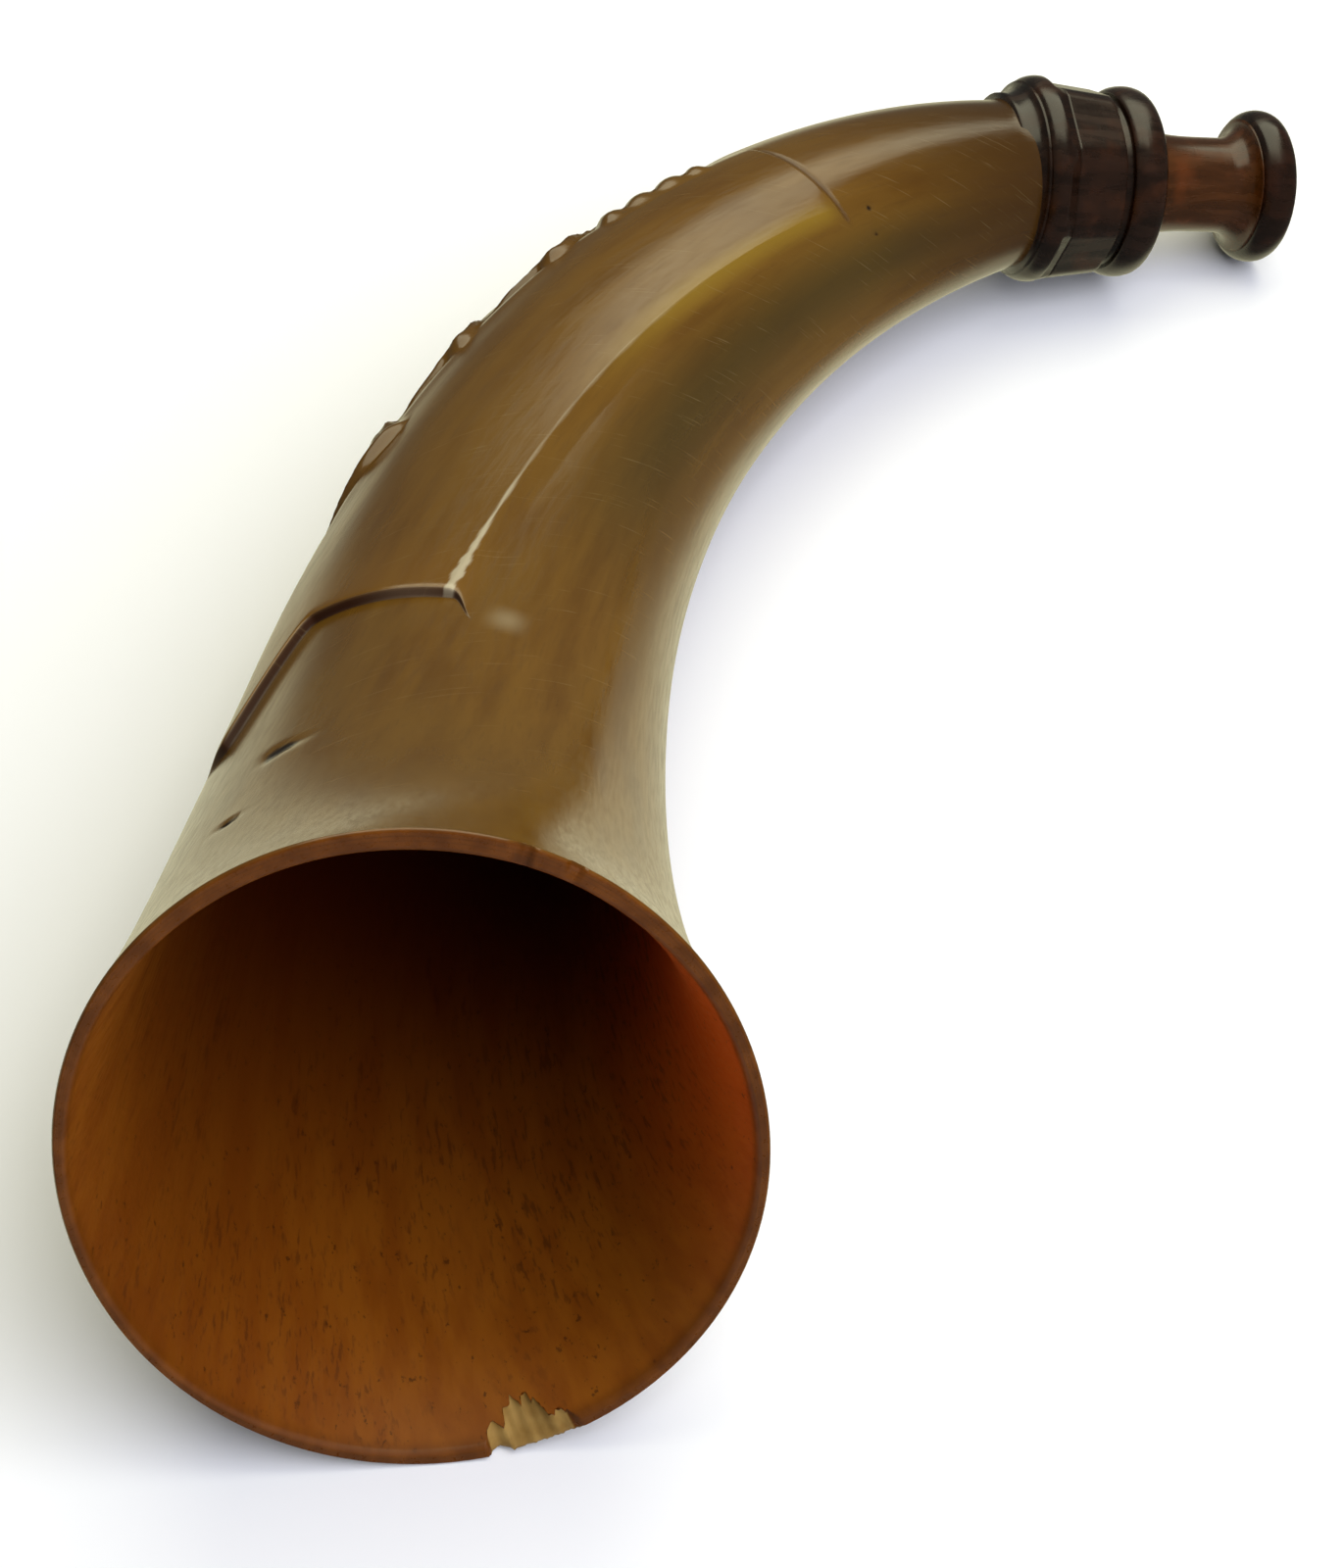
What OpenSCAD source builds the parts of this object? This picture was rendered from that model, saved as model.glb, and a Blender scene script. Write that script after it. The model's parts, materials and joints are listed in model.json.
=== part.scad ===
// Curved natural-horn trumpet with a carved field and a turned mouthpiece.
// Millimetres. +Z up, resting on z = 0, the open mouth faces -Y and the tip curls to +X.

/* [Horn body] */
// Outside width of the mouth across its short axis
mouth_d = 76; // [60:1:110]
// How much longer the mouth's long axis is, as a share of its width
mouth_oval = 0.11; // [0:0.01:0.25]
// Outside width of the body where the flare has died out
belly_d = 42.5; // [34:0.5:60]
// Outside width of the horn where the mouthpiece starts
neck_d = 25.4; // [20:0.2:34]
// Length over which the flare of the mouth dies out
flare_length = 66; // [30:1:100]
// Bluntness of the taper towards the tip
taper_power = 3.5; // [1:0.1:6]
// Length of the horn along its centreline, mouth to mouthpiece
horn_length = 235; // [180:1:320]
// Wall thickness at the lip
lip_wall = 2.6; // [1.5:0.1:5]
// Width of the air bore where the horn meets the mouthpiece
horn_bore_d = 9; // [7:0.5:14]

/* [Curve of the horn] */
// Curl at the mouth, degrees per 100 mm
curl_mouth = 30.4; // [0:0.2:90]
// Curl a quarter of the way along, degrees per 100 mm
curl_throat = 12; // [0:0.2:90]
// Curl half way along, degrees per 100 mm
curl_middle = 29.2; // [0:0.2:90]
// Curl three quarters of the way along, degrees per 100 mm
curl_upper = 43.5; // [0:0.2:90]
// Curl at the mouthpiece, degrees per 100 mm
curl_tip = 60; // [0:0.2:90]
// Twist of the curl's plane, degrees per 100 mm
twist = 28.6; // [0:0.2:60]

/* [Carved field] */
// Distance along the horn where the raised field starts
field_start = 71; // [60:1:100]
// Distance along the horn where the raised field ends
field_end = 194; // [150:1:220]
// Height of the field above the round body, at its shoulder
field_height = 1.3; // [0.5:0.1:2]
// Height of the field at its far end, where it nearly meets the round body
field_end_height = 0.3; // [0:0.1:2]
// Angle around the horn of the field's straight edge
field_edge = 297; // [270:1:320]
// Angle the field spans around the outer side
field_span = 54; // [36:9:90]
// Depth of the ground cut away around the relief carving
ground_depth = 0.9; // [0.3:0.1:1.5]
// Height of the relief carving above its ground
relief_height = 1.7; // [0.5:0.1:2.5]

/* [Mouthpiece] */
// Turn of the mouthpiece where it joins the horn, in the direction of the curl
seat_turn = 7; // [0:0.5:15]
// Greatest width of the collar's rounded bulge
collar_d = 30.8; // [26:0.2:40]
// Width over the corners of the planed band at its narrow side
band_d = 27.8; // [24:0.2:36]
// Width of the turned ring
ring_d = 28.8; // [24:0.2:36]
// Width of the stem at its waist
stem_d = 14.4; // [12:0.2:20]
// Width of the mouth rim
rim_d = 23.2; // [18:0.2:30]
// Width of the blowing bore through the mouthpiece
blow_bore_d = 8; // [6:0.5:10]
// Width of the stem's plain shank inside collar, band and ring
shank_d = 14; // [12:0.2:20]

/* [Hidden] */

round_fn = 96;
horn_color = [0.42, 0.27, 0.10];
carved_color = [0.36, 0.23, 0.09];
upper_color = [0.38, 0.22, 0.08];
relief_color = [0.30, 0.18, 0.08];
turned_color = [0.20, 0.10, 0.05];
rim_color = [0.26, 0.12, 0.05];

// --- where the horn sits when it lies at rest on its lip, its belly and its mouth rim ---
mouth_lift = 15.65;          // rise of the mouth's axis above level
bend_roll = 134.9;          // lean of the curl's axis about the mouth's axis
mouth_centre = [-53.8, -101.23, 40.43];
oval_angle = 123.3;          // direction of the mouth's long axis around the horn
oval_length = 60;            // the oval dies out over this length

mouth_r = mouth_d / 2;
belly_r = belly_d / 2;
neck_r = neck_d / 2;
bore_end_r = horn_bore_d / 2;
wall_growth = neck_r - bore_end_r - lip_wall;

sides = 40;                  // corners around the horn, one of them on the field's edge
side_angle = 360 / sides;
turning_length = horn_length + 8;    // the centreline runs on to the mouthpiece's seat
lip_round = 0.8;             // rounding of the lip
lip_round_length = 1.2;
ground_from = 63;            // the ground lies between these angles, counted back from the field's edge
ground_to = 117;
ground_start = 86;           // the ground sinks in here, along the horn
ground_sink = 10;            // over this length
ground_end = 192;            // and comes out again here

// turns v about the unit vector k by a degrees
function turned(v, k, a) = v * cos(a) + cross(k, v) * sin(a) + k * (k * v) * (1 - cos(a));

// curl at distance s, in degrees per millimetre
function curl(s) = lookup(s / horn_length, [[0, curl_mouth], [0.25, curl_throat], [0.5, curl_middle],
                   [0.75, curl_upper], [1, curl_tip]]) / 100;

// each state is [centre, forward direction, curl axis]
start_forward = [0, cos(mouth_lift), -sin(mouth_lift)];
start_up = [0, sin(mouth_lift), cos(mouth_lift)];
start_axis = turned(start_up, start_forward, bend_roll);

function next_state(st, a) =
    let (fwd = turned(st[1], st[2], a), mid = turned(st[1], st[2], a / 2))
    [st[0] + mid, fwd, turned(st[2], fwd, twist / 100)];

// the centreline at every millimetre
line = [for (i = 0, st = [mouth_centre, start_forward, start_axis]; i <= turning_length;
             st = next_state(st, curl(i + 0.5)), i = i + 1) st];

function body_r(s) =
    let (q = min(s / horn_length, 1), flare = mouth_r - belly_r)
    neck_r + (belly_r - neck_r) * (1 - pow(q, taper_power))
    + flare * exp(-s / flare_length) - flare * exp(-horn_length / flare_length) * q;

function oval(s, a) = 1 + mouth_oval * exp(-s / oval_length) * pow(cos(a - oval_angle), 2);

function wall(s) = lip_wall + wall_growth * pow(min(s / horn_length, 1), 3);

// how far round the field the angle a lies, counted back from the field's edge
function field_angle(a) = (field_edge - a + 720) % 360;

function ramp(x) = max(0, min(1, x));

// height of the field at distance s
function field_top(s) =
    field_height + (field_end_height - field_height) * ramp((s - field_start) / (field_end - field_start));

// depth of the ground at distance s
function ground(s) =
    ground_depth * ramp((s - ground_start) / ground_sink) * ramp((ground_end - s) / ground_sink);

// how far the carved skin stands out from the round body at distance s and angle a
function field_rise(s, a) =
    let (f = field_angle(a))
    f <= field_span ? field_top(s)
    : f > ground_from && f < ground_to ? -ground(s)
    : 0;

// a point at radius r, angle a, distance s along the horn
function horn_point(s, a, r) =
    let (st = line[s], side = cross(st[2], st[1]))
    st[0] + r * (cos(a) * side + sin(a) * st[2]);

function ring_angle(j) = field_edge - j * side_angle;

function outer_ring(s, carved) = [for (j = [0 : sides - 1]) let (a = ring_angle(j))
    horn_point(s, a, body_r(s) * oval(s, a) + (carved ? field_rise(s, a) : 0))];

function inner_ring(s) = [for (j = [0 : sides - 1]) let (a = ring_angle(j))
    horn_point(s, a, body_r(s) * oval(s, a) - wall(s))];

// the lip's outermost ring, drawn in on both faces so that the edge is rounded
function lip_ring(inward) = [for (j = [0 : sides - 1]) let (a = ring_angle(j))
    horn_point(0, a, body_r(0) * oval(0, a) - (inward ? wall(0) - lip_round : lip_round))];

// a tube closed by flat rims, from rings listed in a loop: outer going up, inner coming back
module tube(rings) {
    n = len(rings);
    points = [for (r = rings) each r];
    faces = [for (i = [0 : n - 1], j = [0 : sides - 1])
        let (k = (i + 1) % n, m = (j + 1) % sides,
             p = i * sides + j, q = i * sides + m, u = k * sides + j, v = k * sides + m)
        each [[p, u, q], [q, u, v]]];
    polyhedron(points = points, faces = faces, convexity = 8);
}

module horn_section(from, to, steps, carved) {
    stations = [for (i = [0 : steps]) round(from + (to - from) * i / steps)];
    tube([for (s = stations) outer_ring(s, carved), for (i = [steps : -1 : 0]) inner_ring(stations[i])]);
}

// --- horn ---
module bell() {
    steps = 12;
    stations = [for (i = [0 : steps]) max(lip_round_length, field_start * i / steps)];
    whole = [for (s = stations) round(s)];
    color(horn_color)
    tube([lip_ring(false), for (s = whole) outer_ring(s, false),
          for (i = [steps : -1 : 0]) inner_ring(whole[i]), lip_ring(true)]);
}

module carved_barrel() {
    color(carved_color) horn_section(field_start, field_end, 20, true);
}

module upper_horn() {
    cutter_d = 80;
    color(upper_color)
    difference() {
        horn_section(field_end, turning_length, 10, false);
        at_mouthpiece(seat_at) cylinder(d = cutter_d, h = cutter_d);
    }
}

// --- relief carving: a leaf scroll on the ground beyond the field ---
relief_angle = 212;          // direction of the scroll around the horn
relief_half_angle = 14;      // half the angle that the carved strip spans
relief_start = 98;
relief_end = 188;
relief_root = 0.6;           // depth the strip is let into the ground
relief_along = 90;           // steps of the strip's skin along the horn
relief_across = 12;          // and across it
leaf_count = 6;
stem_half_width = 0.2;       // share of the strip's half width
stem_share = 0.55;           // height of the plain stem, as a share of the leaves' height
relief_rim = 0.12;           // least height, as a share, so that the strip stays one solid

// height of the carving, 0 to 1, at share u along the strip and v (-1 to 1) across it
function leaf_height(u, v) =
    let (sway = 0.45 * sin(u * leaf_count * 180), phase = u * leaf_count - floor(u * leaf_count),
         half_width = 0.5 * sin(phase * 180), off = abs(v - sway))
    half_width <= off ? 0 : sqrt(1 - pow(off / half_width, 2));

function stem_height(v) = abs(v) >= stem_half_width ? 0
    : stem_share * sqrt(1 - pow(v / stem_half_width, 2));

function carving_height(u, v) =
    (relief_rim + (1 - relief_rim) * max(leaf_height(u, v), stem_height(v)))
    * sin(ramp(min(u, 1 - u) * 12) * 90);

function relief_row(i, lift) = [for (j = [0 : relief_across])
    let (u = i / relief_along, v = 2 * j / relief_across - 1,
         s = round(relief_start + (relief_end - relief_start) * u),
         a = relief_angle + v * relief_half_angle,
         h = lift ? relief_height * carving_height(u, v) : -relief_root)
    horn_point(s, a, body_r(s) * oval(s, a) - ground_depth + h)];

module relief_carving() {
    row = relief_across + 1;
    top = row * (relief_along + 1);
    points = [for (i = [0 : relief_along]) each relief_row(i, false),
              for (i = [0 : relief_along]) each relief_row(i, true)];
    skin = [for (i = [0 : relief_along - 1], j = [0 : relief_across - 1])
        let (p = i * row + j, q = p + row)
        each [[p, q, p + 1], [p + 1, q, q + 1],
              [top + p, top + p + 1, top + q], [top + p + 1, top + q + 1, top + q]]];
    long_sides = [for (i = [0 : relief_along - 1])
        let (p = i * row, q = p + row, m = p + relief_across, n = m + row)
        each [[p, top + p, q], [q, top + p, top + q], [m, n, top + m], [n, top + n, top + m]]];
    ends = [for (j = [0 : relief_across - 1])
        let (m = relief_along * row + j)
        each [[j, j + 1, top + j], [j + 1, top + j + 1, top + j],
              [m, top + m, m + 1], [m + 1, top + m, top + m + 1]]];
    color(relief_color) polyhedron(points = points, faces = concat(skin, long_sides, ends), convexity = 8);
}

// --- mouthpiece, turned about one straight axis ---
seat_at = -8;                // the collar's seat on the horn, along the mouthpiece's axis
collar_end = 0;
cove_length = 3.4;
band_end = 8.2;
groove_end = 9.6;
ring_end = 15;
waist_at = 25;
stem_end = 32.4;
rim_end = 38;
groove_d = 24.6;
rim_cup_d = 15;              // the cup the lips close on
rim_cup_depth = 3.4;
shank_grip = 0.02;           // the shank is this much larger in radius than its sockets

// places its children on the mouthpiece's axis, Z towards the player
module at_mouthpiece(along) {
    st = line[turning_length];
    axis = turned(st[1], st[2], seat_turn);
    side = cross(st[2], axis);
    multmatrix([[side[0], st[2][0], axis[0], st[0][0] + along * axis[0]],
                [side[1], st[2][1], axis[1], st[0][1] + along * axis[1]],
                [side[2], st[2][2], axis[2], st[0][2] + along * axis[2]], [0, 0, 0, 1]])
    children();
}

// turned piece from an outline of [radius, distance] points, around a socket of radius hole_r
module turning(outline, hole_r) {
    first = outline[0];
    last = outline[len(outline) - 1];
    rotate_extrude($fn = round_fn)
        polygon([[hole_r, first[1]], each outline, [hole_r, last[1]]]);
}

module collar() {
    crest = collar_d / 2;
    shoulder = neck_r + (crest - neck_r) * 0.6;
    bulge_mid = (seat_at + cove_length + collar_end) / 2;
    bulge_half = (collar_end - seat_at - cove_length) / 2;
    outline = [
        for (a = [0 : 15 : 90])
            [neck_r + (shoulder - neck_r) * (1 - cos(a)), seat_at + cove_length * sin(a)],
        for (a = [-75 : 15 : 90]) [shoulder + (crest - shoulder) * cos(a), bulge_mid + bulge_half * sin(a)]];
    color(turned_color) at_mouthpiece(0) turning(outline, shank_d / 2);
}

module octagon_band() {
    length = band_end - collar_end;
    wide_r = collar_d / 2;
    color(turned_color) at_mouthpiece(0)
    difference() {
        intersection() {
            cylinder(h = length, r1 = wide_r, r2 = band_d / 2, $fn = 8);
            cylinder(h = length, r1 = wide_r - 0.3, r2 = band_d / 2 - 0.2, $fn = round_fn);
        }
        translate([0, 0, -1]) cylinder(h = length + 2, d = shank_d, $fn = round_fn);
    }
}

module ring() {
    crest = ring_d / 2;
    mid = (groove_end + ring_end) / 2;
    half = (ring_end - groove_end) / 2;
    edge = 1.3;              // rounding of the ring in radius
    outline = [
        [groove_d / 2, band_end],
        for (a = [-90 : 15 : 90]) [crest - edge + edge * cos(a), mid + half * sin(a)]];
    color(turned_color) at_mouthpiece(0) turning(outline, shank_d / 2);
}

module stem() {
    waist_r = stem_d / 2;
    root_r = waist_r + 1.8;
    top_r = waist_r + 3;
    top_cove = 3.6;
    shank_r = shank_d / 2 + shank_grip;
    outline = [
        [shank_r, seat_at], [shank_r, ring_end],
        for (a = [0 : 15 : 90])
            [root_r - (root_r - waist_r) * sin(a), ring_end + (waist_at - ring_end) * (1 - cos(a))],
        [waist_r, stem_end - top_cove],
        for (a = [15 : 15 : 90]) [top_r - (top_r - waist_r) * cos(a), stem_end - top_cove * (1 - sin(a))]];
    color(rim_color) at_mouthpiece(0) turning(outline, blow_bore_d / 2);
}

module mouth_rim() {
    crest = rim_d / 2;
    mid = (stem_end + rim_end) / 2;
    half = (rim_end - stem_end) / 2;
    edge = 2;                // rounding of the rim in radius
    cup_r = rim_cup_d / 2;
    outline = [
        for (a = [-90 : 15 : 90]) [crest - edge + edge * cos(a), mid + half * sin(a)],
        for (a = [0 : 15 : 90])
            [cup_r - (cup_r - blow_bore_d / 2) * sin(a), rim_end - rim_cup_depth * (1 - cos(a))]];
    color(rim_color) at_mouthpiece(0)
    rotate_extrude($fn = round_fn) polygon([[blow_bore_d / 2, stem_end], each outline]);
}

bell();
carved_barrel();
upper_horn();
relief_carving();
collar();
octagon_band();
ring();
stem();
mouth_rim();
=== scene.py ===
"""Looks of the shofar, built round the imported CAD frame. Lengths in the laws below are millimetres."""
import json
import math

import bpy
import numpy as np
from mathutils import Matrix, Vector


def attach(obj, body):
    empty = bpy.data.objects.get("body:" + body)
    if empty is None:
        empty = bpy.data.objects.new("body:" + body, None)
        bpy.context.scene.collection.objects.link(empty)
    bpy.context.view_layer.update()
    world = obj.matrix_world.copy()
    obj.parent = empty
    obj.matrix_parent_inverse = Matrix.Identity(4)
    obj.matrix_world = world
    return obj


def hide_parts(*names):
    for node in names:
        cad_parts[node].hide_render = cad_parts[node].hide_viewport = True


MM = 0.001
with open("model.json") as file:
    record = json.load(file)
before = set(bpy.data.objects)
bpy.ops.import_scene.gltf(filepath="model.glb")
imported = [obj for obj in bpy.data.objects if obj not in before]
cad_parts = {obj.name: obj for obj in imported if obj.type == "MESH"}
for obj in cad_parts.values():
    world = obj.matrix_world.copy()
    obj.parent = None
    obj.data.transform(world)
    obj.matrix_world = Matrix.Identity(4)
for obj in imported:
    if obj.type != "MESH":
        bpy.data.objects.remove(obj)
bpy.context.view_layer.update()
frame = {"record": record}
mounts = {m["name"]: m for m in frame["record"]["mounts"]}

# ---------------------------------------------------------------- horn laws, the same as the CAD's
MOUTH_R, BELLY_R, NECK_R = 38.0, 21.25, 12.7
MOUTH_OVAL, OVAL_ANGLE, OVAL_LENGTH = 0.11, 123.3, 60.0
FLARE_LENGTH, TAPER_POWER, HORN_LENGTH = 66.0, 3.5, 235.0
LIP_WALL, BORE_END_R = 2.6, 4.5
CURLS = [30.4, 12.0, 29.2, 43.5, 60.0]
TWIST, BEND_ROLL, SEAT_TURN = 28.6, 134.9, 7.0
FIELD_START, FIELD_END, FIELD_HEIGHT, FIELD_END_HEIGHT = 71.0, 194.0, 1.3, 0.3
FIELD_EDGE, GROUND_DEPTH, RELIEF_HEIGHT = 297.0, 0.9, 1.45
SEAT_DISTANCE = 8.0
SWEEP_LEFT, SWEEP_RIGHT, SWEEP_REACH = 20.0, 5.0, 21.0
SKIN_PER_DEGREE = 0.38
# breaks of the lip: angle, half width in degrees, depth at the outer edge, depth at the inner edge
CHIPS = [(124, 2.0, 1.1, 2.4), (118.7, 4.2, 0.55, 4.3), (114, 3.4, 0.5, 1.7),
         (332.9, 2.0, 0.8, 0.7), (341.2, 1.7, 1.0, 0.3), (325, 0.6, 0.4, 0.2)]


def turned(v, k, degrees):
    a = math.radians(degrees)
    return v * math.cos(a) + np.cross(k, v) * math.sin(a) + k * np.dot(k, v) * (1 - math.cos(a))


def centreline():
    """Centre, direction and curl axis at every millimetre, as the CAD has them."""
    mouth = np.array(mounts["bell_mouth"]["pos_m"]) / MM
    forward = -np.array(mounts["bell_mouth"]["axis"])
    up = np.array([0.0, 0.0, 1.0])
    up = up - forward * np.dot(up, forward)
    axis = turned(up / np.linalg.norm(up), forward, BEND_ROLL)
    rows = [(mouth, forward, axis)]
    for i in range(int(HORN_LENGTH + SEAT_DISTANCE)):
        c, t, k = rows[-1]
        a = np.interp((i + 0.5) / HORN_LENGTH, np.linspace(0, 1, 5), CURLS) / 100
        ahead = turned(t, k, a)
        rows.append((c + turned(t, k, a / 2), ahead, turned(k, ahead, TWIST / 100)))
    return [np.array(x) for x in zip(*rows)]


CENTRES, DIRECTIONS, AXES = centreline()
STATIONS = np.arange(len(CENTRES))


def along(s, rows):
    """Rows of the centreline at the distances s."""
    return np.stack([np.interp(s, STATIONS, rows[:, i]) for i in range(3)], -1)


def body_r(s):
    q = np.clip(s / HORN_LENGTH, 0, 1)
    flare = MOUTH_R - BELLY_R
    return (NECK_R + (BELLY_R - NECK_R) * (1 - q ** TAPER_POWER)
            + flare * np.exp(-s / FLARE_LENGTH) - flare * math.exp(-HORN_LENGTH / FLARE_LENGTH) * q)


def oval(s, a):
    return 1 + MOUTH_OVAL * np.exp(-s / OVAL_LENGTH) * np.cos(np.radians(a - OVAL_ANGLE)) ** 2


def wall(s):
    return LIP_WALL + (NECK_R - BORE_END_R - LIP_WALL) * np.clip(s / HORN_LENGTH, 0, 1) ** 3


def smooth(low, high, x):
    t = np.clip((x - low) / (high - low), 0, 1)
    return t * t * (3 - 2 * t)


def apart(a, b):
    """Signed angle from b to a, -180 to 180."""
    return (a - b + 180) % 360 - 180


# ---------------------------------------------------------------- carving, wear, painted shade and painted highlights on the horn's skin
def shoulder_sweep(a):
    """How far the shoulder is swept back to the mouth at angle a."""
    left = smooth(0, 12, apart(262, a)) ** 1.3 * smooth(150, 210, a)
    return -SWEEP_LEFT * left - SWEEP_RIGHT * smooth(298, 306, a)


def swept(u, a):
    """Distance along the horn of mesh row u, so that row FIELD_START follows the shoulder."""
    return u + shoulder_sweep(a) * np.exp(-((u - FIELD_START) / SWEEP_REACH) ** 2)


def shoulder_face(a):
    """How much of the shoulder's step there is at angle a: it tapers out at both of its ends."""
    return smooth(238, 252, a) * (1 - smooth(300, 306, a))


def field_rise(u, s, a):
    """Height of the raised field: crisp at the arris, soft on its outer side, low at the far end."""
    share = np.clip((s - FIELD_START) / (FIELD_END - FIELD_START), 0, 1)
    top = FIELD_HEIGHT + (FIELD_END_HEIGHT - FIELD_HEIGHT) * share
    off = apart(a, FIELD_EDGE)
    right = np.where(off > 0, np.clip(1 - off / 8, 0, 1) ** 1.4, 1.0)
    near = 1 - smooth(FIELD_START, FIELD_START + 26, u)
    left = smooth(231 + 7 * near, 240 + 12 * near, a) * smooth(150, 200, a + 0 * s)
    begins = smooth(FIELD_START - 0.12, FIELD_START + 0.25, u)
    lengthwise = begins * (1 - smooth(FIELD_END - 0.3, FIELD_END + 0.3, s))
    worn = 1 - 0.3 * np.exp(-np.clip(u - FIELD_START, 0, None) / 0.5)
    return top * right * left * lengthwise * worn


def ground(s, a):
    """Depth of the ground round the relief."""
    return (GROUND_DEPTH * smooth(88, 100, s) * (1 - smooth(184, 194, s))
            * smooth(176, 192, a) * (1 - smooth(226, 234, a)))


def end_groove(s, a):
    """Scribed line that closes the field at its upper end, 0 to 1."""
    return np.exp(-((s - FIELD_END - 0.7) / 0.4) ** 2) * smooth(236, 246, a) * (1 - smooth(300, 309, a))


def arris(s, a):
    """Sharp ridge that keeps the field's straight edge crisp where the field gets low."""
    off = apart(a, FIELD_EDGE)
    flank = np.clip(1 - np.where(off < 0, -off / 15, off / 10), 0, 1) ** 2
    return 0.32 * smooth(105, 165, s) * flank * (1 - smooth(FIELD_END - 2, FIELD_END + 0.5, s))


def border(s, a):
    """Rounded ridge that parts the field from the relief."""
    return 0.3 * np.exp(-(apart(a, 237) / 4.5) ** 2) * smooth(92, 104, s) * (1 - smooth(158, 172, s))


LEAVES = [(107, 224, 13, 10, 34), (118, 227, 8, 8, -25), (129, 223, 10, 8, 25), (141, 225, 9, 8, -22),
          (152, 223, 9, 8, 24), (162, 226, 8, 8, -18)]


def relief(s, a):
    """Generic leaf scroll that stands beyond the field's border."""
    height = np.zeros_like(s)
    for s0, a0, half_len, half_wide, lean in LEAVES:
        c, n = math.cos(math.radians(lean)), math.sin(math.radians(lean))
        x, y = s - s0, apart(a, a0) * SKIN_PER_DEGREE
        u, v = (x * c + y * n) / half_len, (-x * n + y * c) / (half_wide * 0.45)
        edge = 1 - np.clip(u * u + v * v * (1 + 0.8 * np.clip(u, -1, 1)), 0, 1)
        vein = 0.35 * np.exp(-(v / 0.13) ** 2) + 0.16 * (0.5 + 0.5 * np.cos(9 * u + 5 * np.abs(v)))
        height = np.maximum(height, np.clip(edge * 3.2, 0, 1) ** 0.8 * (1 - vein))
    scroll = np.sqrt(np.clip(1 - (apart(a, 216 + 5 * np.sin(s / 6.5)) * SKIN_PER_DEGREE / 1.2) ** 2, 0, 1))
    height = np.maximum(height, 0.7 * scroll * smooth(96, 100, s) * (1 - smooth(184, 188, s)))
    fan_row = (s - 176 + 0.20 * apart(a, 228)) / 5.6
    fan = np.abs(np.cos(fan_row * math.pi)) ** 0.6
    fan = fan * smooth(166, 168, s) * (1 - smooth(184, 187, s))
    fan = fan * smooth(203, 209, a) * (1 - smooth(237, 245, a))
    return RELIEF_HEIGHT * np.maximum(height, 0.75 * fan)


def shoulder_shade(u, a):
    """Painted shade on the shoulder's step face and at its foot."""
    begins = smooth(FIELD_START - 0.35, FIELD_START - 0.15, u)
    return begins * (1 - smooth(FIELD_START + 0.1, FIELD_START + 0.6, u)) * shoulder_face(a)


def arris_line(s, a):
    """Pale line on the arris, partly wear and partly a painted highlight, wider and uneven near the
    shoulder.
    """
    half = 0.15 + 0.7 * (1 - smooth(76, 90, s)) * (1 + 0.4 * np.sin(s * 1.7)) + 0.15 * np.sin(s * 0.6)
    off = np.abs(apart(a, FIELD_EDGE))
    begins = smooth(FIELD_START - 0.4, FIELD_START + 0.6, s)
    line = (1 - smooth(half, half + 0.5, off)) * begins
    return line * (1 - 0.75 * smooth(88, 112, s)) * (1 - smooth(140, 165, s))


def dents(s, a):
    """Small pits and scratches: distance along, angle, half length, half width, depth."""
    marks = [(38.6, 277.6, 1.0, 1.9, 0.45), (37.2, 275.4, 0.9, 0.8, 0.3), (23, 276, 0.5, 1.3, 0.6),
             (200, 302, 0.7, 0.6, 0.3), (199, 315, 0.6, 0.5, 0.3), (39, 283, 0.4, 0.9, 0.15)]
    depth = np.zeros_like(s)
    for s0, a0, half_len, half_wide, deep in marks:
        across = apart(a, a0) * np.radians(1.0) * body_r(s)
        depth += deep * np.exp(-((s - s0) / half_len) ** 2 - (across / half_wide) ** 2)
    return depth


def ripple(s, a):
    """Slow hand-scraped unevenness."""
    t = np.radians(a)
    return (0.08 * np.sin(s / 17 + 2 * np.cos(t)) + 0.02 * np.sin(s / 7.3 + 3 * np.sin(t + 1))
            + 0.04 * np.cos(5 * t + s / 40) + 0.015 * np.cos(11 * t - s / 23)) * smooth(0, 6, s)


def chip(a, inner):
    """How far the lip is broken back at angle a; the inner edge is broken further than the outer."""
    back = np.zeros_like(a)
    for a0, half, outer_deep, inner_deep in CHIPS:
        off = np.abs(apart(a, a0)) / half
        rough = 1 + 0.14 * np.sin(a * 2.9) + 0.10 * np.sin(a * 7.1)
        deep = inner_deep if inner else outer_deep
        back = np.maximum(back, deep * rough * (1 - smooth(0.55, 1.05, off)))
    return back


def straw_at(a):
    """Where a break shows pale horn: only along the big chip at the bottom."""
    return smooth(111.5, 113, a) * (1 - smooth(124.6, 126, a))


def skin_point(s, a, r):
    c, t, k = along(s, CENTRES), along(s, DIRECTIONS), along(s, AXES)
    side = np.cross(k, t)
    rad = np.radians(a)[..., None]
    return c + r[..., None] * (np.cos(rad) * side + np.sin(rad) * k)


# ---------------------------------------------------------------- meshes
def grid_faces(rows, cols):
    """Quads of a grid whose columns close on themselves."""
    i, j = np.meshgrid(np.arange(rows - 1), np.arange(cols), indexing="ij")
    p = i * cols + j
    q = i * cols + (j + 1) % cols
    return np.stack([p, p + cols, q + cols, q], -1).reshape(-1, 4)


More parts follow.
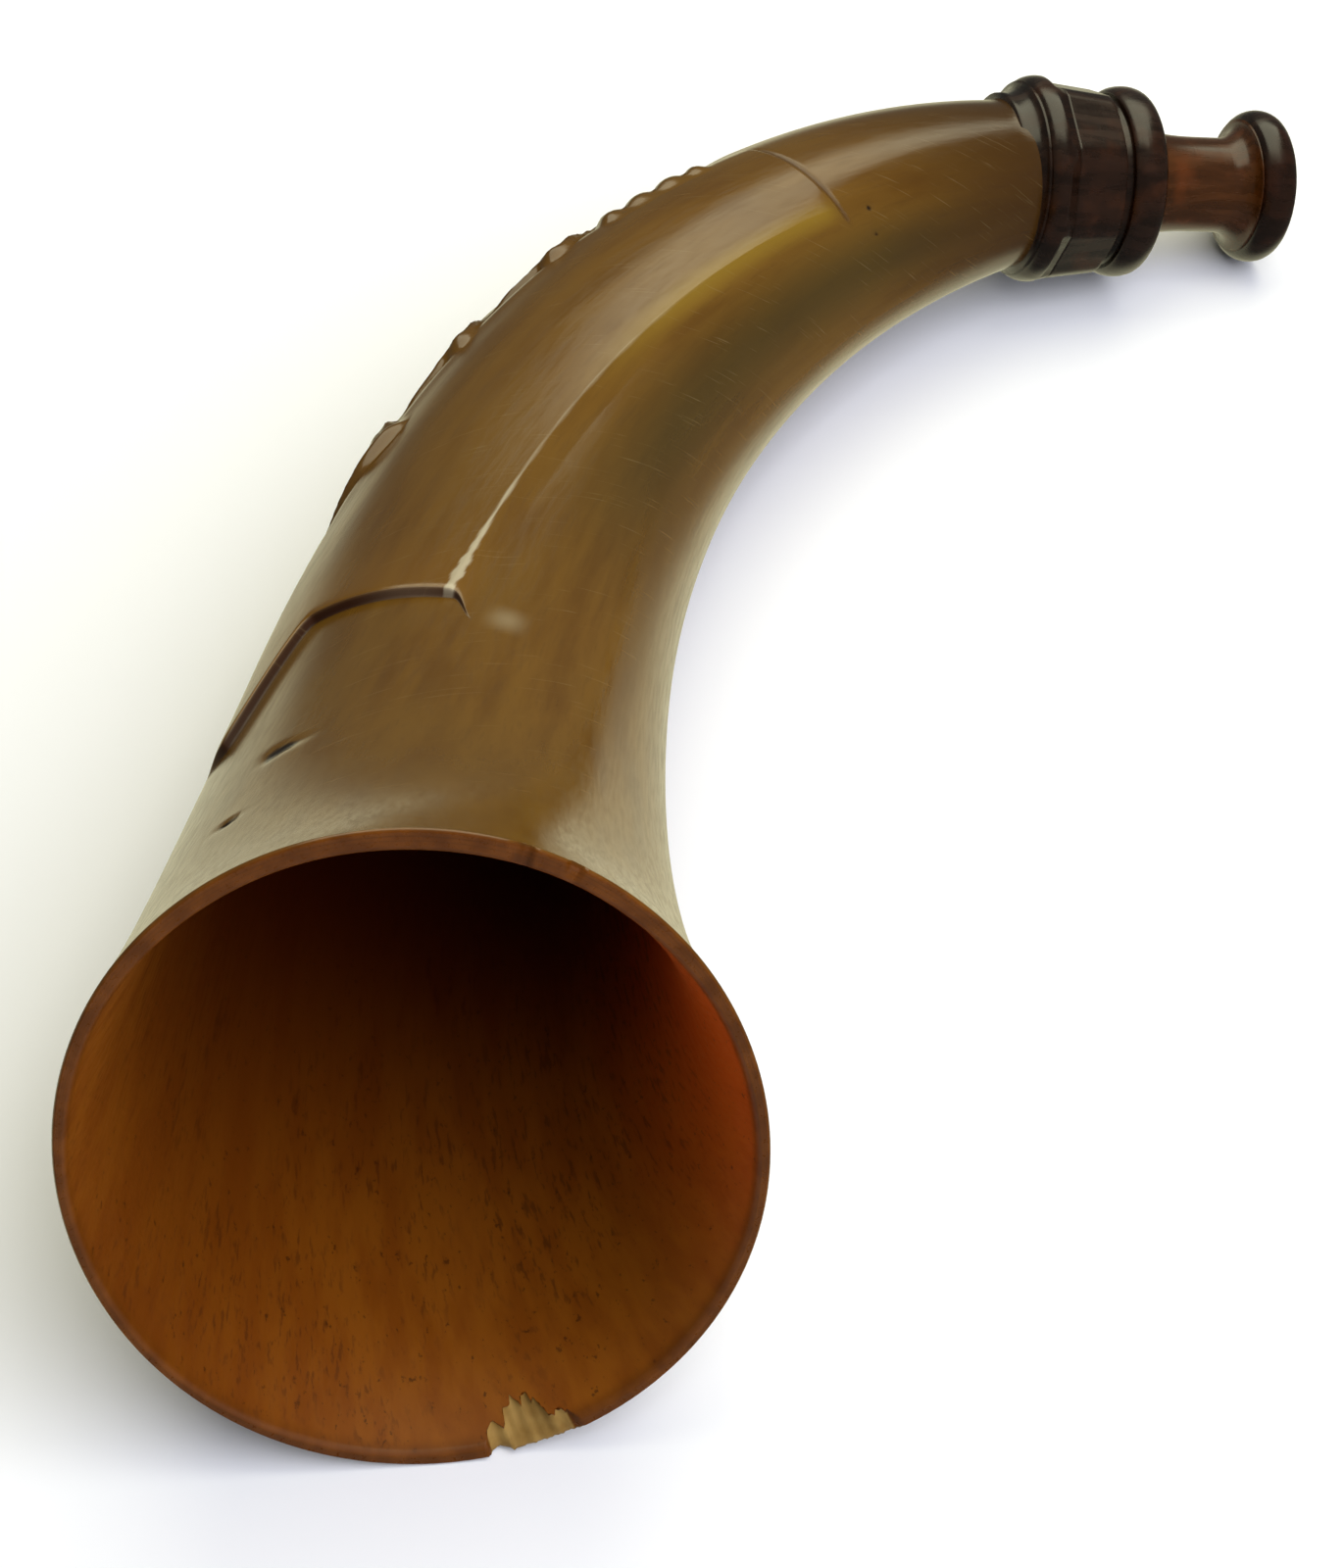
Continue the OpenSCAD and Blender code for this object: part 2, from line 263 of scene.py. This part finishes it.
def make_mesh(name, points, faces, layers, material):
    mesh = bpy.data.meshes.new(name)
    mesh.from_pydata((points * MM).tolist(), [], faces.tolist())
    for key, values in layers.items():
        kind = "FLOAT_VECTOR" if values.ndim == 2 else "FLOAT"
        layer = mesh.attributes.new(key, kind, "POINT")
        layer.data.foreach_set("vector" if values.ndim == 2 else "value", values.astype(np.float32).ravel())
    mesh.polygons.foreach_set("use_smooth", [True] * len(mesh.polygons))
    mesh.materials.append(material)
    mesh.update()
    obj = bpy.data.objects.new(name, mesh)
    bpy.context.scene.collection.objects.link(obj)
    return obj


def spread(low, high, step, fine):
    """Positions from low to high, step apart, and finer inside the (from, to, step) stretches."""
    out = [low]
    while out[-1] < high - 1e-6:
        gap = step
        for a, b, small in fine:
            if a <= out[-1] < b:
                gap = small
        out.append(min(high, out[-1] + gap))
    return np.array(out)


LIP_RINGS = 7


def lip_wall(s, a):
    """The inner skin flares near the mouth, so that the lip is thin, but for its top."""
    lip = 1.25 + 1.35 * np.exp(-(apart(a, 318) / 62) ** 2) + 0.45 * np.exp(-(apart(a, 125) / 45) ** 2)
    return wall(s) + (lip - LIP_WALL) * np.exp(-(s / 7) ** 1.5)


def horn_piece(material):
    angles = spread(0, 360, 1.5,
                    [(109, 128, 0.45), (200, 250, 0.8), (250, 262, 0.6), (293, 306, 0.4),
                     (327, 345, 0.5)])[:-1]
    rows_u = spread(0, HORN_LENGTH + 3, 0.8,
                    [(0, 3, 0.3), (FIELD_START - 1.4, FIELD_START + 2, 0.12), (192.5, 196, 0.2)])
    inner_s = spread(0, HORN_LENGTH, 3.0, [(0, 5, 0.35), (5, 12, 1.0)])
    cols = len(angles)

    u, a = np.meshgrid(rows_u, angles, indexing="ij")
    s = swept(u, a)
    s_out = np.maximum(s, chip(a, False) * (u < 6))
    lip = 0.35 * (1 - np.sqrt(np.clip(1 - (1 - np.clip(u / 0.6, 0, 1)) ** 2, 0, 1)))
    carved = relief(s_out, a)
    r = (body_r(s_out) * oval(s_out, a) + ripple(s_out, a) + field_rise(u, s_out, a) - ground(s_out, a)
         + arris(s_out, a) + border(s_out, a) + carved - 0.2 * end_groove(s_out, a) - dents(s_out, a) - lip)
    outer = skin_point(s_out, a, r)

    s_i, a_i = np.meshgrid(inner_s[::-1], angles, indexing="ij")
    s_in = np.maximum(s_i, chip(a_i, True) * (s_i < 8))
    lip_in = 0.3 * (1 - np.sqrt(np.clip(1 - (1 - np.clip(s_i / 0.6, 0, 1)) ** 2, 0, 1)))
    r_in = body_r(s_in) * oval(s_in, a_i) - lip_wall(s_in, a_i) - 0.05 * np.cos(9 * np.radians(a_i)) + lip_in
    inner = skin_point(s_in, a_i, r_in)

    # rings across the lip's end face, from the inner skin back to the outer
    t = np.linspace(1, 0, LIP_RINGS + 2)[1:-1, None]
    a_f = np.repeat(angles[None], LIP_RINGS, 0)
    r_f = r_in[-1] * t + r[0] * (1 - t)
    s_f = s_in[-1] * t + s_out[0] * (1 - t) - 0.16 * np.sin(math.pi * t)
    face = skin_point(np.clip(s_f, 0, None), a_f, r_f)

    points = np.concatenate([x.reshape(-1, 3) for x in (outer, inner, face)])
    rows = len(rows_u) + len(inner_s) + LIP_RINGS
    faces = grid_faces(rows, cols)
    last = (rows - 1) * cols
    j = np.arange(cols)
    closing = np.stack([last + j, j, (j + 1) % cols, last + (j + 1) % cols], -1)
    faces = np.concatenate([faces, closing])

    def straightened(s_, a_, r_):
        rad = np.radians(a_)
        return np.stack([r_ * np.cos(rad), r_ * np.sin(rad), s_], -1).reshape(-1, 3)

    def joined(on_outer, on_inner, on_face):
        return np.concatenate([np.broadcast_to(x, y.shape).ravel() for x, y in
                               ((on_outer, a), (on_inner, a_i), (on_face, a_f))])

    skin = np.concatenate([straightened(s_out, a, r), straightened(s_in, a_i, r_in),
                           straightened(s_f, a_f, r_f)])
    broken_face = chip(a_f, False) * (1 - t) + chip(a_f, True) * t
    layers = {"skin": skin, "along": skin[:, 2], "around": joined(a, a_i, a_f),
              "inside": joined(0.0, 1.0, 0.5),
              "rim": joined(1 - np.clip(u / 0.5, 0, 1), 1 - np.clip(s_i / 1.6, 0, 1), 1.0),
              "across_rim": joined(0.0, 1.0, t),
              "carved": joined(field_rise(u, s_out, a) / FIELD_HEIGHT, 0.0, 0.0),
              "relief": joined(carved / RELIEF_HEIGHT, 0.0, 0.0),
              # painted shade: the shoulder's dark step face and the dark line along the end groove
              "painted_groove_shade": joined(np.maximum(shoulder_shade(u, a), 0.55 * end_groove(s_out, a)), 0.0, 0.0),
              # pale arris line: partly wear and partly a painted highlight
              "arris_wear_and_highlight": joined(arris_line(s_out, a), 0.0, 0.0),
              "broken": joined(straw_at(a) * (u < 0.5), straw_at(a_i) * (s_i < 0.3),
                               straw_at(a_f) * (broken_face > 0.1)),
              "pit": joined(dents(s_out, a), 0.0, 0.0)}
    return make_mesh("horn_body", points, faces, layers, material)


SEAT = CENTRES[-1]
SEAT_AXIS = turned(DIRECTIONS[-1], AXES[-1], SEAT_TURN)
SEAT_SIDE = np.cross(AXES[-1], SEAT_AXIS)


def arc(centre, radii, start, stop, steps):
    """Points of an elliptic arc in (radius, distance), angles from the outward direction."""
    out = []
    for i in range(steps + 1):
        a = math.radians(start + (stop - start) * i / steps)
        out.append((centre[0] + radii[0] * math.cos(a), centre[1] + radii[1] * math.sin(a)))
    return out


def lathe(name, profile, material, shape=None, cols=192):
    """Closed turned piece round the mouthpiece's axis; shape(r, d, a) may plane it."""
    prof = np.array(profile, float)
    angles = np.linspace(0, 2 * math.pi, cols, endpoint=False)
    r = np.repeat(prof[:, :1], cols, 1)
    d = np.repeat(prof[:, 1:], cols, 1)
    a = np.repeat(angles[None], len(prof), 0)
    if shape:
        r = shape(r, d, a)
    points = (SEAT + d[..., None] * SEAT_AXIS
              + r[..., None] * (np.cos(a)[..., None] * SEAT_SIDE + np.sin(a)[..., None] * AXES[-1]))
    rows = len(prof)
    faces = grid_faces(rows, cols)
    last, j = (rows - 1) * cols, np.arange(cols)
    faces = np.concatenate([faces, np.stack([last + j, j, (j + 1) % cols, last + (j + 1) % cols], -1)])
    skin = np.stack([r * np.cos(a), r * np.sin(a), d], -1).reshape(-1, 3)
    layers = {"skin": skin, "along": skin[:, 2], "radius": r.ravel()}
    return make_mesh(name, points.reshape(-1, 3), faces, layers, material)


# ---------------------------------------------------------------- materials
class Nodes:
    """Short names for building one node material."""

    def __init__(self, name):
        self.mat = bpy.data.materials.new(name)
        self.mat.use_nodes = True
        self.tree = self.mat.node_tree
        self.shader = self.tree.nodes["Principled BSDF"]

    def node(self, kind, **values):
        n = self.tree.nodes.new(kind)
        for key, value in values.items():
            setattr(n, key, value)
        return n

    def put(self, socket, value):
        if isinstance(value, bpy.types.NodeSocket):
            self.tree.links.new(value, socket)
        elif isinstance(value, (tuple, list)):
            opaque = len(value) == 3 and len(socket.default_value) == 4
            socket.default_value = (*value, 1.0) if opaque else value
        else:
            socket.default_value = value

    def attribute(self, name, vector=False):
        n = self.node("ShaderNodeAttribute", attribute_name=name)
        return n.outputs["Vector" if vector else "Fac"]

    def math(self, op, a, b=0.0, c=0.0):
        n = self.node("ShaderNodeMath", operation=op)
        for i, v in enumerate((a, b, c)):
            self.put(n.inputs[i], v)
        return n.outputs[0]

    def scaled(self, vector, scale):
        n = self.node("ShaderNodeVectorMath", operation="MULTIPLY")
        self.put(n.inputs[0], vector)
        self.put(n.inputs[1], scale)
        return n.outputs[0]

    def noise(self, vector, scale, detail=4.0, rough=0.55):
        n = self.node("ShaderNodeTexNoise")
        self.put(n.inputs["Vector"], self.scaled(vector, scale))
        n.inputs["Scale"].default_value = 1.0
        n.inputs["Detail"].default_value = detail
        n.inputs["Roughness"].default_value = rough
        return n.outputs["Fac"]

    def span(self, value, low, high, to_low=0.0, to_high=1.0, smooth_step=True):
        n = self.node("ShaderNodeMapRange")
        n.interpolation_type = "SMOOTHSTEP" if smooth_step else "LINEAR"
        self.put(n.inputs["Value"], value)
        for key, v in (("From Min", low), ("From Max", high), ("To Min", to_low), ("To Max", to_high)):
            n.inputs[key].default_value = v
        return n.outputs["Result"]

    def mix(self, fac, a, b, blend="MIX"):
        n = self.node("ShaderNodeMix", data_type="RGBA", blend_type=blend)
        self.put(n.inputs["Factor"], fac)
        self.put(n.inputs[6], a)
        self.put(n.inputs[7], b)
        return n.outputs[2]

    def times(self, a, b):
        return self.math("MULTIPLY", a, b)

    def bell(self, value, centre, width):
        """1 at centre, falling to 0 at width on either side."""
        off = self.math("ABSOLUTE", self.math("SUBTRACT", value, centre))
        return self.span(off, 0.0, width, 1.0, 0.0)

    def finish(self, color, roughness, height=None, strength=0.3, distance=0.0004, **uniform):
        self.put(self.shader.inputs["Base Color"], color)
        self.put(self.shader.inputs["Roughness"], roughness)
        for key, value in uniform.items():
            self.shader.inputs[key.replace("_", " ")].default_value = value
        if height is not None:
            n = self.node("ShaderNodeBump")
            n.inputs["Strength"].default_value = strength
            n.inputs["Distance"].default_value = distance
            self.put(n.inputs["Height"], height)
            self.put(self.shader.inputs["Normal"], n.outputs["Normal"])
        return self.mat


def outside_color(m, s, a, streaks, fine, clouds):
    """Amber brown, olive where dark, with the carving's lines and stains, a painted glow beside the arris,
    painted shade at the shoulder and in the end groove, and painted highlights and reflections.
    """
    carved, raised, pit = m.attribute("carved"), m.attribute("relief"), m.attribute("pit")
    painted_groove_shade, arris_wear_and_highlight = m.attribute("painted_groove_shade"), m.attribute("arris_wear_and_highlight")
    out = m.mix(m.span(streaks, 0.3, 0.7), (0.092, 0.039, 0.0040), (0.128, 0.060, 0.0070))
    out = m.mix(m.times(m.span(clouds, 0.35, 0.7), 0.7), out, (0.125, 0.062, 0.0085))
    out = m.mix(m.times(m.span(fine, 0.5, 0.78), 0.3), out, (0.070, 0.030, 0.0035))
    dark = m.times(m.bell(a, 328.0, 30.0), m.times(m.span(s, 70.0, 135.0), m.span(s, 250.0, 200.0)))
    out = m.mix(m.times(dark, 0.75), out, (0.036, 0.024, 0.0055))
    # painted glow: light shining through the thin horn beside the arris, painted into the colour
    painted_glow = m.times(m.bell(a, 297.0, 9.0), m.times(m.span(s, 118.0, 160.0), m.span(s, 196.0, 190.0)))
    out = m.mix(m.times(painted_glow, 0.8), out, (0.20, 0.118, 0.012))
    red = m.span(s, 190.0, 238.0)
    out = m.mix(m.times(red, 0.85), out, (0.032, 0.0130, 0.0028))
    near_shoulder = m.times(carved, m.span(s, FIELD_START + 18, FIELD_START))
    out = m.mix(m.times(near_shoulder, 0.6), out, (0.150, 0.066, 0.0060))
    out = m.mix(m.times(raised, 0.45), out, (0.062, 0.026, 0.0040))
    painted_step_reflection = m.times(painted_groove_shade, m.times(m.bell(a, 288.0, 17.0), m.span(s, 80.0, 76.0)))
    # painted shade on the shoulder's step face and in the end groove
    out = m.mix(painted_groove_shade, out, (0.026, 0.0060, 0.0009))
    # painted reflection: a pale band on the right end of the shoulder's step face
    out = m.mix(m.times(painted_step_reflection, 0.45), out, (0.130, 0.085, 0.050))
    # painted highlight: a soft pale spot on the bell just below the shoulder, right of the arris
    painted_highlight_spot = m.times(m.bell(s, 68.0, 4.0), m.bell(a, 313.0, 7.0))
    out = m.mix(m.times(painted_highlight_spot, 0.45), out, (0.30, 0.24, 0.14))
    # pale arris line, partly wear and partly a painted highlight
    out = m.mix(m.times(arris_wear_and_highlight, 0.8), out, (0.42, 0.37, 0.25))
    out = m.mix(m.span(pit, 0.10, 0.28), out, (0.012, 0.005, 0.0015))
    slant = m.node("ShaderNodeCombineXYZ")
    m.put(slant.inputs[0], m.math("SUBTRACT", m.times(s, 0.60), m.times(a, 0.20)))
    m.put(slant.inputs[1], m.math("ADD", m.times(s, 0.40), m.times(a, 0.13)))
    scratch = m.span(m.noise(slant.outputs[0], (3.2, 0.16, 1.0), 3, 0.6), 0.62, 0.70)
    out = m.mix(m.times(scratch, 0.16), out, (0.30, 0.22, 0.10))
    return out


def inside_color(m, s, a, streaks, fine, clouds, specks):
    """Orange amber with dark dashes and stains; a painted glow on the right, painted shade on the left, and
    painted shade that makes it nearly black deep in.
    """
    inner = m.mix(m.span(streaks, 0.35, 0.65), (0.205, 0.054, 0.0026), (0.255, 0.076, 0.0040))
    # painted glow: light shining through the thin wall on the bore's right side
    round_right = m.math("SUBTRACT", m.math("MODULO", m.math("ADD", a, 160.0), 360.0), 180.0)
    right = m.bell(m.math("ABSOLUTE", round_right), 0.0, 70.0)
    inner = m.mix(m.times(right, 0.85), inner, (0.620, 0.080, 0.0010))
    # painted shade on the bore's left side
    inner = m.mix(m.times(m.bell(a, 190.0, 80.0), 0.7), inner, (0.095, 0.021, 0.0012))
    stain = m.times(m.span(fine, 0.54, 0.66), m.span(clouds, 0.42, 0.6))
    inner = m.mix(m.times(stain, 0.6), inner, (0.060, 0.015, 0.0015))
    inner = m.mix(m.times(m.span(specks, 0.62, 0.70), 0.7), inner, (0.035, 0.010, 0.0015))
    # painted shade: nearly black deep in, less so under the painted glow
    deep = m.times(m.span(s, 14.0, 80.0), m.math("SUBTRACT", 0.95, m.times(right, 0.60)))
    inner = m.mix(deep, inner, (0.062, 0.0062, 0.0004))
    return inner


def lip_color(m, streaks):
    """Amber with fine growth lines round the lip."""
    across_rim = m.attribute("across_rim")
    lines = m.math("MAXIMUM", m.bell(across_rim, 0.30, 0.06), m.bell(across_rim, 0.58, 0.05))
    lip = m.mix(m.span(streaks, 0.35, 0.65), (0.095, 0.025, 0.0012), (0.138, 0.038, 0.0020))
    lip = m.mix(m.times(lines, 0.55), lip, (0.055, 0.017, 0.0020))
    return lip


def horn_material():
    m = Nodes("horn_polished")
    skin, s, a = m.attribute("skin", True), m.attribute("along"), m.attribute("around")
    inside, rim = m.attribute("inside"), m.attribute("rim")
    broken, painted_groove_shade = m.attribute("broken"), m.attribute("painted_groove_shade")
    streaks = m.noise(skin, (0.30, 0.30, 0.022), 5)
    fine = m.noise(skin, (1.6, 1.6, 0.09), 4)
    clouds = m.noise(skin, (0.055, 0.055, 0.03), 3)
    specks = m.noise(skin, (1.1, 1.1, 0.8), 3, 0.7)
    color = m.mix(inside, outside_color(m, s, a, streaks, fine, clouds),
                  inside_color(m, s, a, streaks, fine, clouds, specks))
    color = m.mix(rim, color, lip_color(m, streaks))
    straw = m.mix(m.span(streaks, 0.35, 0.65), (0.33, 0.20, 0.055), (0.22, 0.120, 0.026))
    color = m.mix(m.span(broken, 0.15, 0.5), color, straw)

    rough = m.math("ADD", m.span(fine, 0.3, 0.7, 0.15, 0.24), m.times(inside, 0.22))
    rough = m.math("ADD", rough, m.times(m.span(broken, 0.3, 0.8), 0.4))
    rough = m.math("ADD", rough, m.times(painted_groove_shade, 0.4))
    height = m.math("ADD", m.times(streaks, 0.5), m.math("ADD", m.times(fine, 0.35), m.times(specks, 0.1)))
    return m.finish(color, rough, height, 0.12, 0.0003, IOR=1.5)


def mouthpiece_material(name, deep, light, red, rough_low=0.2):
    m = Nodes(name)
    skin = m.attribute("skin", True)
    grain = m.noise(skin, (0.5, 0.5, 0.06), 5)
    rings = m.noise(skin, (0.05, 0.05, 3.0), 3)
    clouds = m.noise(skin, (0.16, 0.16, 0.16), 3)
    color = m.mix(m.span(grain, 0.35, 0.7), deep, light)
    color = m.mix(m.times(m.span(clouds, 0.5, 0.7), 0.7), color, red)
    rough = m.span(grain, 0.3, 0.7, rough_low, rough_low + 0.14)
    height = m.math("ADD", m.times(rings, 0.4), m.times(grain, 0.4))
    return m.finish(color, rough, height, 0.12, 0.0003, IOR=1.5)


# ---------------------------------------------------------------- pieces
SHANK_R, BLOW_R = 7.0, 4.0
RING_R, RIM_R, WAIST_R = 14.4, 11.6, 7.2
FACETS, FLAT_R, FLAT_TAPER = 8, 14.3, 0.115

horn = horn_piece(horn_material())
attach(horn, "root")
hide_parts("bell", "carved_barrel", "upper_horn", "relief_carving")

dark_horn = mouthpiece_material("mouthpiece_dark_horn", deep=(0.008, 0.0030, 0.0014),
                                light=(0.018, 0.0062, 0.0026), red=(0.034, 0.0100, 0.0032))
red_horn = mouthpiece_material("mouthpiece_red_horn", deep=(0.032, 0.0095, 0.0014),
                                light=(0.064, 0.0185, 0.0022), red=(0.090, 0.021, 0.0022))
rim_horn = mouthpiece_material("mouthpiece_rim_horn", deep=(0.008, 0.0026, 0.0010),
                                light=(0.016, 0.0046, 0.0016), red=(0.026, 0.0066, 0.0018))


def planed(r, d, a):
    """Eight planed facets that run out on the bulge."""
    flat = FLAT_R - d * FLAT_TAPER
    step = 2 * math.pi / FACETS
    off = (a + step / 2) % step - step / 2
    facet = flat / np.cos(off)
    return np.where((d > -1.4) & (r > 11.5), np.minimum(r, facet), r)


collar_profile = ([(SHANK_R, -8.0)] + arc((NECK_R + 1.9, -8.0), (1.9, 3.4), 180, 90, 6)
                  + arc((14.0, -2.0), (1.5, 2.4), -80, 20, 12) + [(15.1, 0.0), (SHANK_R, 0.0)])
band_profile = [(SHANK_R, 0.02)] + [(15.1 - 0.13 * d, d) for d in np.linspace(0.02, 7.8, 20)] + [
    (13.9, 8.1), (13.5, 8.2), (SHANK_R, 8.2)]
ring_profile = ([(SHANK_R, 8.22)] + [(12.2, 8.22), (12.2, 9.0)] + arc((12.9, 9.4), (0.6, 0.5), 180, 90, 4)
                + arc((RING_R - 1.3, 12.3), (1.3, 2.7), -80, 85, 16) + [(SHANK_R, 15.0)])
stem_profile = ([(BLOW_R, -7.9), (SHANK_R - 0.05, -7.9), (SHANK_R - 0.05, 15.02)]
                + arc((WAIST_R + 1.8, 25.0), (1.8, 9.9), 270, 180, 12)
                + [(WAIST_R, 27.0)] + arc((WAIST_R + 3.0, 28.8), (3.0, 3.6), 180, 90, 8) + [(BLOW_R, 32.4)])
rim_profile = ([(BLOW_R, 32.4)] + arc((RIM_R - 2.0, 35.2), (2.0, 2.8), -90, 90, 18)
               + arc((7.5, 34.6), (3.5, 3.4), 90, 180, 10))

pieces = [("collar_turned", collar_profile, dark_horn, planed, "collar", "mouthpiece_dark"),
          ("octagon_band_planed", band_profile, dark_horn, planed, "octagon_band", "mouthpiece_dark"),
          ("ring_turned", ring_profile, dark_horn, None, "ring", "mouthpiece_dark"),
          ("stem_turned", stem_profile, red_horn, None, "stem", "mouthpiece_red"),
          ("mouth_rim_turned", rim_profile, rim_horn, None, "mouth_rim", "mouthpiece_red")]
for name, profile, material, shape, node, slot_name in pieces:
    piece = lathe(name, profile, material, shape)
    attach(piece, "root")
    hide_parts(node)

# ---------------------------------------------------------------- floor, light, camera
floor_mat = Nodes("studio_floor")
floor_mat.finish((0.90, 0.91, 0.96), 0.9)
FLOOR = 6.0
bpy.ops.mesh.primitive_plane_add(size=FLOOR, location=(0, 0, 0))
floor = bpy.context.object
floor.name = "studio_floor"
floor.data.materials.append(floor_mat.mat)
floor.visible_glossy = False

world = bpy.data.worlds.new("studio")
bpy.context.scene.world = world
world.use_nodes = True
ROOM, SHEET, BACKDROP = (0.11, 0.12, 0.11), (0.85, 0.82, 0.55), (0.86, 0.86, 0.85)


def light_room(tree):
    """Pale backdrop for the camera; for light a dim room, with a pale sheet low down behind the horn."""
    def node(kind, **values):
        made = tree.nodes.new(kind)
        for key, value in values.items():
            setattr(made, key, value)
        return made

    def ramp(source, low, high):
        made = node("ShaderNodeMapRange", interpolation_type="SMOOTHSTEP")
        made.inputs["From Min"].default_value, made.inputs["From Max"].default_value = low, high
        tree.links.new(source, made.inputs["Value"])
        return made.outputs["Result"]

    toward = node("ShaderNodeSeparateXYZ")
    tree.links.new(node("ShaderNodeTexCoord").outputs["Generated"], toward.inputs[0])
    share = node("ShaderNodeMath", operation="MULTIPLY")
    tree.links.new(ramp(toward.outputs["Z"], -0.12, -0.34), share.inputs[0])
    side = node("ShaderNodeMath", operation="MULTIPLY")
    tree.links.new(ramp(toward.outputs["X"], 0.72, 0.50), side.inputs[0])
    tree.links.new(ramp(toward.outputs["Y"], -0.20, 0.15), side.inputs[1])
    tree.links.new(side.outputs[0], share.inputs[1])
    color = node("ShaderNodeMix", data_type="RGBA")
    tree.links.new(share.outputs[0], color.inputs["Factor"])
    color.inputs[6].default_value, color.inputs[7].default_value = (*ROOM, 1.0), (*SHEET, 1.0)
    seen = node("ShaderNodeMix", data_type="RGBA")
    tree.links.new(node("ShaderNodeLightPath").outputs["Is Camera Ray"], seen.inputs["Factor"])
    tree.links.new(color.outputs[2], seen.inputs[6])
    seen.inputs[7].default_value = (*BACKDROP, 1.0)
    tree.links.new(seen.outputs[2], tree.nodes["Background"].inputs["Color"])


light_room(world.node_tree)


def softbox(name, azimuth, elevation, distance, size, radiance, tint, seen_in_gloss):
    """Soft rectangular light; azimuth 0 is beyond the horn and 90 is to its right."""
    az, el = math.radians(azimuth), math.radians(elevation)
    towards = Vector((math.sin(az) * math.cos(el), math.cos(az) * math.cos(el), math.sin(el)))
    data = bpy.data.lights.new(name, "AREA")
    data.shape = "RECTANGLE"
    data.size, data.size_y = size
    data.energy = radiance * math.pi * size[0] * size[1]
    data.color = tint
    lamp = bpy.data.objects.new(name, data)
    lamp.location = towards * distance
    lamp.rotation_euler = (-towards).to_track_quat("-Z", "Y").to_euler()
    lamp.visible_glossy = seen_in_gloss
    bpy.context.scene.collection.objects.link(lamp)


softbox("key", 9, 61, 0.95, (1.0, 1.15), 2.4, (1.0, 0.96, 0.70), True)
softbox("fill", 135, 47, 1.25, (1.5, 1.5), 3.0, (0.98, 0.99, 1.06), False)

CAMERA_FROM_MOUTH = np.array([-59.675, -332.973, 340.09]) - np.array([-53.8, -101.23, 40.43])
CAMERA_FORWARD = Vector((0.094002, 0.686648, -0.720887))
CAMERA_RIGHT = Vector((0.993723, -0.108828, 0.02592))
camera_data = bpy.data.cameras.new("camera")
camera_data.lens, camera_data.sensor_width = 81.0, 36.0
camera_data.clip_start = 0.01
camera = bpy.data.objects.new("camera", camera_data)
back = -CAMERA_FORWARD.normalized()
right = (CAMERA_RIGHT - back * CAMERA_RIGHT.dot(back)).normalized()
turn = Matrix((right, back.cross(right), back)).transposed()
place = (CENTRES[0] + CAMERA_FROM_MOUTH) * MM
camera.matrix_world = Matrix.Translation(Vector(place)) @ turn.to_4x4()
bpy.context.scene.collection.objects.link(camera)
bpy.context.scene.camera = camera
bpy.context.scene.view_settings.view_transform = "Standard"
